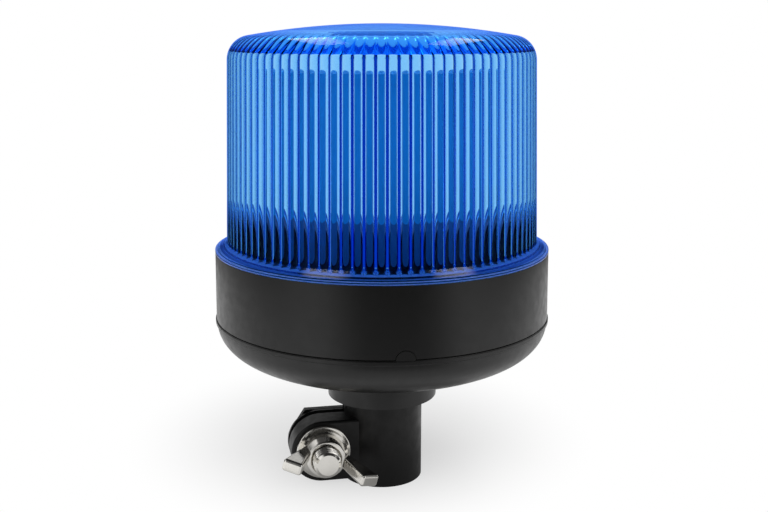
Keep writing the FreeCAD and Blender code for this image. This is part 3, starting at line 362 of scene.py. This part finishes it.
def floor_material():
    """White paper that takes the object's real shadow, with a painted shadow in its glow around the socket,
    and fades into the white background.

    Reflections see it by the mirror levels, and from below it is clear.
    """
    material = bpy.data.materials.new("floor_paper")
    material.use_nodes = True
    material.node_tree.nodes.clear()
    nodes = Nodes(material.node_tree)
    path = nodes.add("LightPath")
    # Painted shadow: the glow that the camera sees dims around the shadow centre.
    fade = nodes.ramp(nodes.distance(PAINTED_SHADOW_CENTRE), *PAINTED_SHADOW_SPAN)
    near = nodes.math("SUBTRACT", 1.0, fade)
    seen = nodes.math("MAXIMUM", path.outputs["Is Camera Ray"], path.outputs["Is Transmission Ray"])
    glow_with_painted_shadow = nodes.math("ADD", nodes.math("MULTIPLY", near, PAINTED_SHADOW_GLOW), fade)
    shown = nodes.math("MULTIPLY", glow_with_painted_shadow, seen)
    reach = nodes.distance(Vector())
    way = nodes.add("VectorMath", operation="NORMALIZE")
    nodes.put(way.inputs[0], nodes.coordinates("Object"))
    ahead = nodes.towards(way.outputs["Vector"], MIRROR_GAP_WAY)
    gap = nodes.ramp(ahead, *MIRROR_GAP, 0.0, MIRROR_GAP_DEPTH)
    mirrored = nodes.math("SUBTRACT", 1.0, nodes.math("MULTIPLY", gap, nodes.ramp(reach, *MIRROR_FAR)))
    # Reflections see painted shade on the floor by the socket, then the floor brighter further out and faded
    # at its edge.
    for span, levels in (
        (MIRROR_PAINTED_SHADE, MIRROR_PAINTED_SHADE_LEVELS),
        (MIRROR_FAR, MIRROR_FAR_LEVELS),
        (MIRROR_EDGE, MIRROR_EDGE_LEVELS),
    ):
        mirrored = nodes.math("MULTIPLY", mirrored, nodes.ramp(reach, *span, *levels))
    mirrored = nodes.math("MULTIPLY", mirrored, path.outputs["Is Glossy Ray"])
    light = nodes.add("Emission")
    nodes.put(light.inputs["Strength"], nodes.math("MAXIMUM", shown, mirrored))
    paper = nodes.add("BsdfDiffuse")
    white = nodes.ramp(nodes.noise(PAPER_CLOUD), *NOISE_SPAN, FLOOR_PAPER, FLOOR_PAPER * PAPER_SPREAD)
    nodes.put(paper.inputs["Color"], nodes.math("MULTIPLY", near, white))
    lit = nodes.add("AddShader")
    nodes.put(lit.inputs[0], paper.outputs["BSDF"])
    nodes.put(lit.inputs[1], light.outputs["Emission"])
    clear = nodes.add("BsdfTransparent")
    side = nodes.add("MixShader")
    nodes.put(side.inputs["Fac"], nodes.add("NewGeometry").outputs["Backfacing"])
    nodes.put(side.inputs[1], lit.outputs["Shader"])
    nodes.put(side.inputs[2], clear.outputs["BSDF"])
    output = nodes.add("OutputMaterial")
    nodes.put(output.inputs["Surface"], side.outputs["Shader"])
    return material


def make_floor():
    """Round floor, just below the foot."""
    points = []
    for k in range(FLOOR_COLUMNS):
        angle = 2 * math.pi * k / FLOOR_COLUMNS
        points.append((FLOOR_RADIUS * math.cos(angle), FLOOR_RADIUS * math.sin(angle), -FLOOR_DROP))
    mesh = bpy.data.meshes.new("floor")
    mesh.from_pydata(points, [], [tuple(range(FLOOR_COLUMNS))])
    mesh.materials.append(floor_material())
    link(bpy.data.objects.new("floor", mesh))


def new_material(name):
    material = bpy.data.materials.new(name)
    material.use_nodes = True
    shader = material.node_tree.nodes["Principled BSDF"]
    return material, Nodes(material.node_tree), shader.inputs


def plastic(name, dark, light, rough, ior=1.5, specular=0.5):
    """Moulded plastic with a fine grain: rough is the span of its roughness."""
    material, nodes, shader = new_material(name)
    cloud = nodes.noise(PLASTIC_CLOUD, detail=3.0)
    sheen = nodes.noise(PLASTIC_SHEEN, detail=4.0)
    grain = nodes.noise(GRAIN_SIZE, detail=3.0)
    nodes.put(shader["Base Color"], nodes.tint(cloud, dark, light))
    nodes.put(shader["Roughness"], nodes.ramp(sheen, *NOISE_SPAN, *rough))
    nodes.put(shader["IOR"], ior)
    nodes.put(shader["Specular IOR Level"], specular)
    nodes.put(shader["Normal"], nodes.bump(grain, GRAIN_DEPTH, PLASTIC_RELIEF))
    return material


def metal(name, dark, light, rough, stretch=None):
    """Plated or bare metal with fine tool or casting marks, drawn out along an axis if asked."""
    material, nodes, shader = new_material(name)
    cloud = nodes.noise(METAL_CLOUD, detail=3.0)
    sheen = nodes.noise(METAL_SHEEN, detail=4.0)
    grain = nodes.noise(GRAIN_SIZE, detail=3.0, stretch=stretch)
    nodes.put(shader["Base Color"], nodes.tint(cloud, dark, light))
    nodes.put(shader["Metallic"], 1.0)
    nodes.put(shader["Roughness"], nodes.ramp(sheen, *NOISE_SPAN, *rough))
    nodes.put(shader["Normal"], nodes.bump(grain, GRAIN_DEPTH, METAL_RELIEF))
    return material


def lens_material():
    """Clear blue polycarbonate, whose colour comes from the thickness that the light passes.

    The seat under the flange and the skirt are frosted: they scatter light instead of letting it through.
    """
    material, nodes, shader = new_material("blue_lens")
    height = nodes.towards(nodes.coordinates("Object"), UP)
    low = nodes.ramp(height, *SEAT_FROST, 1.0, 0.0)
    skirt = nodes.ramp(height, *SKIRT_FROST, 1.0, 0.0)
    face = nodes.add("NewGeometry")
    outward = nodes.math("SUBTRACT", 1.0, nodes.math("MULTIPLY", face.outputs["Backfacing"], 2.0))
    down = nodes.math("MULTIPLY", nodes.towards(face.outputs["True Normal"], -UP), outward)
    seat = nodes.math("MULTIPLY", low, nodes.ramp(down, *SEAT_FACING))
    frost = nodes.math("MAXIMUM", skirt, seat)
    polish = nodes.ramp(nodes.noise(POLISH_CLOUD, detail=3.0), *POLISH_SPAN, 0.0, POLISH_ROUGHNESS)
    rough = nodes.math("MAXIMUM", polish, nodes.math("MULTIPLY", frost, SEAT_ROUGHNESS))
    wave = nodes.noise(WAVE_SIZE, detail=1.0)
    nodes.put(shader["Specular Tint"], LENS_SHEEN)
    nodes.put(shader["IOR"], LENS_IOR)
    nodes.put(shader["Base Color"], nodes.tint(frost, WHITE, SEAT_BLUE))
    nodes.put(shader["Transmission Weight"], nodes.math("SUBTRACT", 1.0, frost))
    nodes.put(shader["Roughness"], rough)
    nodes.put(shader["Normal"], nodes.bump(wave, WAVE_DEPTH, WAVE_STRENGTH))
    absorption = nodes.add("VolumeAbsorption")
    nodes.put(absorption.inputs["Color"], LENS_BLUE)
    nodes.put(absorption.inputs["Density"], LENS_DENSITY)
    output = nodes.tree.nodes["Material Output"]
    nodes.put(output.inputs["Volume"], absorption.outputs["Volume"])
    return material


def grey(level):
    return (level, level, level)


PLASTICS = {
    "black_housing": dict(dark=grey(0.006), light=grey(0.009), rough=(0.30, 0.38)),
    "black_socket": dict(dark=grey(0.005), light=grey(0.008), rough=(0.38, 0.50), specular=0.4),
    "seal_rubber": dict(dark=grey(0.010), light=grey(0.016), rough=(0.60, 0.75)),
    "deck_black": dict(dark=grey(0.003), light=grey(0.005), rough=(0.80, 0.90), ior=1.15),
    "frosted_optic": dict(dark=(0.004, 0.36, 0.86), light=(0.006, 0.40, 0.94), rough=(0.45, 0.60)),
    "plinth_plastic": dict(dark=(0.008, 0.13, 0.42), light=(0.012, 0.15, 0.48), rough=(0.45, 0.55)),
    "board_green": dict(dark=(0.015, 0.13, 0.05), light=(0.02, 0.18, 0.07), rough=(0.30, 0.40)),
    "board_white": dict(dark=(0.76, 0.77, 0.76), light=(0.82, 0.83, 0.82), rough=(0.35, 0.45)),
    "led_yellow": dict(dark=(0.76, 0.60, 0.12), light=(0.82, 0.68, 0.18), rough=(0.25, 0.40)),
    "chip_black": dict(dark=grey(0.016), light=grey(0.024), rough=(0.45, 0.60)),
    "ferrite": dict(dark=grey(0.07), light=grey(0.09), rough=(0.55, 0.70)),
    "contact_insulator": dict(dark=(0.27, 0.26, 0.24), light=(0.33, 0.32, 0.30), rough=(0.45, 0.60)),
}

METALS = {
    "plated_steel": dict(dark=(0.76, 0.74, 0.69), light=(0.86, 0.84, 0.80), rough=(0.09, 0.17)),
    "screw_steel": dict(dark=(0.50, 0.50, 0.51), light=(0.60, 0.60, 0.61), rough=(0.25, 0.40)),
    "sink_aluminium": dict(dark=(0.68, 0.69, 0.71), light=(0.80, 0.81, 0.83), rough=(0.30, 0.45),
                           stretch=(1, 1, 0.02)),
    "capacitor_can": dict(dark=(0.58, 0.59, 0.62), light=(0.66, 0.67, 0.70), rough=(0.25, 0.35)),
    "contact_brass": dict(dark=(0.72, 0.52, 0.20), light=(0.84, 0.64, 0.28), rough=(0.22, 0.36)),
    "spring_steel": dict(dark=(0.45, 0.45, 0.46), light=(0.55, 0.55, 0.56), rough=(0.25, 0.38)),
}


def make_materials():
    """Every material of the object, by the name of its slot."""
    materials = {"blue_lens": lens_material()}
    for name, look in PLASTICS.items():
        materials[name] = plastic(name, **look)
    for name, look in METALS.items():
        materials[name] = metal(name, **look)
    return materials


def rounded(points, radius, steps=4, most=0.4):
    """Outline with each inner corner replaced by a small curve, which takes at most that share of a side."""
    result = [points[0]]
    for before, corner, after in zip(points, points[1:], points[2:]):
        corner = Vector(corner)
        ends = []
        for other in (Vector(before), Vector(after)):
            side = other - corner
            ends.append(corner + side * min(radius / side.length, most))
        for i in range(steps + 1):
            t = i / steps
            result.append(tuple(ends[0] * (1 - t) ** 2 + corner * 2 * t * (1 - t) + ends[1] * t ** 2))
    result.append(points[-1])
    return result


class Shell:
    """Vertices and faces of a piece made of rings about an axis."""

    def __init__(self):
        self.points = []
        self.faces = []

    def ring(self, places):
        first = len(self.points)
        self.points.extend(places)
        return list(range(first, len(self.points)))

    def join(self, a, b):
        """Faces from ring a to ring b, where b may be a single point or have a whole share of a's points."""
        count = min(len(a), len(b))
        if count == 1:
            edge = a if len(b) == 1 else b
            pole = (b if len(b) == 1 else a)[0]
            for k, point in enumerate(edge):
                near = edge[(k + 1) % len(edge)]
                self.faces.append((point, near, pole) if edge is a else (near, point, pole))
            return
        share = len(a) // count
        for k in range(count):
            run = [a[(share * k + i) % len(a)] for i in range(share + 1)]
            self.faces.append((*run, b[(k + 1) % count], b[k]))

    def piece(self, name, material):
        mesh = bpy.data.meshes.new(name)
        mesh.from_pydata(self.points, [], self.faces)
        mesh.shade_smooth()
        mesh.set_sharp_from_angle(angle=SHARP_ANGLE)
        mesh.materials.append(material)
        mesh.validate()
        return link(bpy.data.objects.new(name, mesh))


def turned_ring(radius, z, columns):
    """Points of a level ring, or the one point on the axis."""
    if radius == 0:
        return [(0, 0, z)]
    places = []
    for k in range(columns):
        angle = 2 * math.pi * k / columns
        places.append((radius * math.cos(angle), radius * math.sin(angle), z))
    return places


class LensMeridian:
    """Half section of the lens: drafted wall, round shoulder and shallow crown, each tangent to the next."""

    def __init__(self):
        self.foot = (FLANGE_RADIUS - FLANGE_WIDTH, SEAT_Z + LENS_FOOT_HEIGHT)
        self.spring = (self.foot[0] - LENS_LEAN, SEAT_Z + SHOULDER_HEIGHT)
        self.draft = math.atan2(LENS_LEAN, self.spring[1] - self.foot[1])
        self.centre = (self.spring[0] - SHOULDER_RADIUS * math.cos(self.draft),
                       self.spring[1] - SHOULDER_RADIUS * math.sin(self.draft))
        rise = APEX_Z - self.centre[1]
        chord = self.centre[0] ** 2 + rise ** 2 - SHOULDER_RADIUS ** 2
        self.crown_radius = chord / (2 * (rise - SHOULDER_RADIUS))
        self.crown_z = APEX_Z - self.crown_radius
        self.crown_angle = math.atan2(self.centre[1] - self.crown_z, self.centre[0])

    def shoulder(self, offset, angle):
        reach = SHOULDER_RADIUS - offset
        return (self.centre[0] + reach * math.cos(angle), self.centre[1] + reach * math.sin(angle))

    def crown(self, offset, radius):
        return self.crown_z + math.sqrt((self.crown_radius - offset) ** 2 - radius ** 2)

    def wall_radius(self, z):
        return self.spring[0] + (self.spring[1] - z) * math.tan(self.draft)

    def slope_end(self, corner, rise):
        """Distance from the axis at which a slope that rises from the corner meets the crown's inside."""
        inside = self.crown_radius - CROWN_WALL
        height = corner[1] + corner[0] * rise - self.crown_z
        steepness = 1 + rise ** 2
        spread = math.sqrt((height * rise) ** 2 - steepness * (height ** 2 - inside ** 2))
        return (height * rise - spread) / steepness


def lens_outer_rows(meridian):
    """Outline of the outside from the skirt's foot to the apex."""
    skirt = FLANGE_RADIUS - SKIRT_GAP
    step = FLANGE_RADIUS - FLANGE_STEP_WIDTH
    edge_z = SEAT_Z + FLANGE_EDGE
    rows = rounded([
        (skirt, SKIRT_Z),
        (skirt, SEAT_Z + SEAT_GAP),
        (FLANGE_RADIUS, SEAT_Z + SEAT_GAP),
        (FLANGE_RADIUS, edge_z),
        (step, edge_z),
        (step, edge_z + FLANGE_STEP_HEIGHT),
        meridian.foot,
        meridian.spring,
    ], FLANGE_ROUND)
    shoulder_steps = 20
    for i in range(1, shoulder_steps + 1):
        angle = meridian.draft + (meridian.crown_angle - meridian.draft) * i / shoulder_steps
        rows.append(meridian.shoulder(0, angle))
    edge = rows[-1][0]
    crown_steps = 14
    for i in range(1, crown_steps + 1):
        radius = edge * (1 - i / crown_steps)
        rows.append((radius, meridian.crown(0, radius)))
    return rows


def flute_share(t):
    """How far a flute stands out at t, from -1 to 1 across it: a round back between two grooves."""
    half = math.pi / FLUTE_COUNT * (FLANGE_RADIUS - FLANGE_WIDTH - LENS_WALL)
    radius = (half ** 2 + FLUTE_DEPTH ** 2) / (2 * FLUTE_DEPTH)
    return (math.sqrt(radius ** 2 - (half * t) ** 2) - radius + FLUTE_DEPTH) / FLUTE_DEPTH


def fluted_ring(groove, crest):
    """Ring of flutes between two (radius, height) points of the meridian."""
    places = []
    for k in range(INNER_COLUMNS):
        t = 2 * ((k + FLUTE_COLUMNS / 2) % FLUTE_COLUMNS) / FLUTE_COLUMNS - 1
        share = flute_share(t)
        radius = groove[0] + (crest[0] - groove[0]) * share
        z = groove[1] + (crest[1] - groove[1]) * share
        angle = 2 * math.pi * k / INNER_COLUMNS
        places.append((radius * math.cos(angle), radius * math.sin(angle), z))
    return places


def lens_inner_rings(meridian):
    """Rings of the inside from the middle of the crown down to the skirt's foot."""
    crest_offset = LENS_WALL + FLUTE_DEPTH
    corner, corner_z = meridian.shoulder(LENS_WALL, CORNER_ANGLE)
    rise = math.tan(CORNER_SLOPE)
    end_radius = meridian.slope_end((corner, corner_z), rise)
    rings = []
    crown_steps = 8
    for i in range(crown_steps):
        radius = end_radius * i / crown_steps
        rings.append(turned_ring(radius, meridian.crown(CROWN_WALL, radius), INNER_COLUMNS))
    crest = corner - FLUTE_DEPTH
    slope_steps = 4
    for i in range(slope_steps):
        share = i / slope_steps
        radius = end_radius + (crest - end_radius) * share
        z = corner_z + (corner - radius) * rise
        rings.append(fluted_ring((radius, z), (radius, z - CORNER_RIB * share)))
    rings.append(fluted_ring((corner, corner_z), (crest, corner_z + FLUTE_DEPTH * rise - CORNER_RIB)))
    shoulder_steps = 6
    for i in range(1, shoulder_steps + 1):
        angle = CORNER_ANGLE * (1 - i / shoulder_steps)
        rings.append(fluted_ring(meridian.shoulder(LENS_WALL, angle), meridian.shoulder(crest_offset, angle)))
    foot_z = SEAT_Z + FLUTE_FOOT_HEIGHT
    wall_steps = 6
    for i in range(1, wall_steps + 1):
        z = meridian.centre[1] + (foot_z - meridian.centre[1]) * i / wall_steps
        groove = meridian.wall_radius(z) - LENS_WALL
        rings.append(fluted_ring((groove, z), (groove - FLUTE_DEPTH, z)))
    skirt = FLANGE_RADIUS - SKIRT_GAP - SKIRT_WALL
    rings.append(turned_ring(skirt, foot_z, INNER_COLUMNS))
    rings.append(turned_ring(skirt, SKIRT_Z, INNER_COLUMNS))
    return rings


def make_lens(material):
    """One closed shell: the plain outside, the fluted inside and the foot of the skirt between them."""
    meridian = LensMeridian()
    shell = Shell()
    outer = [shell.ring(turned_ring(r, z, OUTER_COLUMNS)) for r, z in lens_outer_rows(meridian)]
    inner = [shell.ring(places) for places in lens_inner_rings(meridian)]
    for rows in (outer, inner):
        for a, b in zip(rows, rows[1:]):
            shell.join(a, b)
    shell.join(inner[-1], outer[0])
    lens = shell.piece("lens", material)
    weigh = lens.modifiers.new("face_normals", "WEIGHTED_NORMAL")
    weigh.keep_sharp = True
    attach(lens, "beacon")
    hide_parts("lens_dome")


def bolt_ring(radius_at, y):
    """Ring about the bolt's axis at y, with its radius given for each angle."""
    places = []
    for k in range(THREAD_COLUMNS):
        angle = 2 * math.pi * k / THREAD_COLUMNS
        radius = radius_at(angle)
        places.append((BOLT_X + radius * math.cos(angle), y, BOLT_Z + radius * math.sin(angle)))
    return places


def thread_radius(angle, depth_from_end):
    """Right-hand thread with narrow crests and roots, cut by the end's chamfer and run out at the shank."""
    phase = (depth_from_end / THREAD_PITCH + angle / (2 * math.pi)) % 1.0
    flank = (abs(2 * phase - 1) - THREAD_CREST_SHARE) / THREAD_FLANK_SHARE
    flank = min(max(flank, 0.0), 1.0)
    fade = min(max((THREAD_LENGTH - depth_from_end) / THREAD_PITCH, 0.0), 1.0)
    chamfer = BOLT_RADIUS - BOLT_CHAMFER + depth_from_end
    return min(BOLT_RADIUS - THREAD_DEPTH * flank * fade, chamfer)


def head_radius(angle, limit):
    """Hexagon with two flats level, its corners cut by a round limit."""
    turn = (angle + math.pi / 6) % (math.pi / 3) - math.pi / 6
    return min(HEAD_APOTHEM / math.cos(turn - math.copysign(math.pi / 6, turn)), limit)


def make_bolt(material):
    """Bolt with a true thread and a six-sided head."""
    shell = Shell()
    rows = [shell.ring([(BOLT_X, BOLT_END_Y, BOLT_Z)])]
    turns = THREAD_LENGTH / THREAD_PITCH
    steps = int(turns * THREAD_ROWS_PER_TURN)
    for i in range(steps + 1):
        depth = THREAD_LENGTH * i / steps
        rows.append(shell.ring(bolt_ring(lambda angle: thread_radius(angle, depth), BOLT_END_Y + depth)))
    seat = BOLT_HIGH.y - HEAD_HEIGHT
    corner = HEAD_APOTHEM / math.cos(math.pi / 6)
    bevel = (corner - HEAD_APOTHEM) / 2
    rows.append(shell.ring(bolt_ring(lambda angle: BOLT_RADIUS, seat)))
    for limit, y in ((HEAD_APOTHEM, seat), (corner, seat + bevel), (corner, BOLT_HIGH.y - bevel),
                     (HEAD_APOTHEM, BOLT_HIGH.y)):
        rows.append(shell.ring(bolt_ring(lambda angle: head_radius(angle, limit), y)))
    rows.append(shell.ring([(BOLT_X, BOLT_HIGH.y, BOLT_Z)]))
    for a, b in zip(rows, rows[1:]):
        if len(a) > 1 and len(b) > 1:
            shell.join(b, a)
        else:
            shell.join(a, b)
    bolt = shell.piece("threaded_bolt", material)
    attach(bolt, "beacon")
    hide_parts("clamp_bolt")


def make_spring(material):
    """Coil of the solid's own shape, copied onto a mesh of its own."""
    mesh = frame["nodes"]["contact_spring"].data.copy()
    mesh.materials.clear()
    mesh.materials.append(material)
    spring = link(bpy.data.objects.new("pressed_spring", mesh))
    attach(spring, "beacon")
    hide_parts("contact_spring")
    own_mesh(spring)


def paint_solids(materials):
    """Give each solid the material of its slot."""
    for entry in frame["record"]["subparts"]:
        slots = frame["nodes"][entry["node"]].data.materials
        slots.clear()
        slots.append(materials[entry["material_slot"]])


bpy.context.scene.view_settings.view_transform = "Standard"
make_camera()
make_world()
make_softboxes()
make_floor()
paints = make_materials()
paint_solids(paints)
make_lens(paints["blue_lens"])
make_bolt(paints["plated_steel"])
make_spring(paints["spring_steel"])
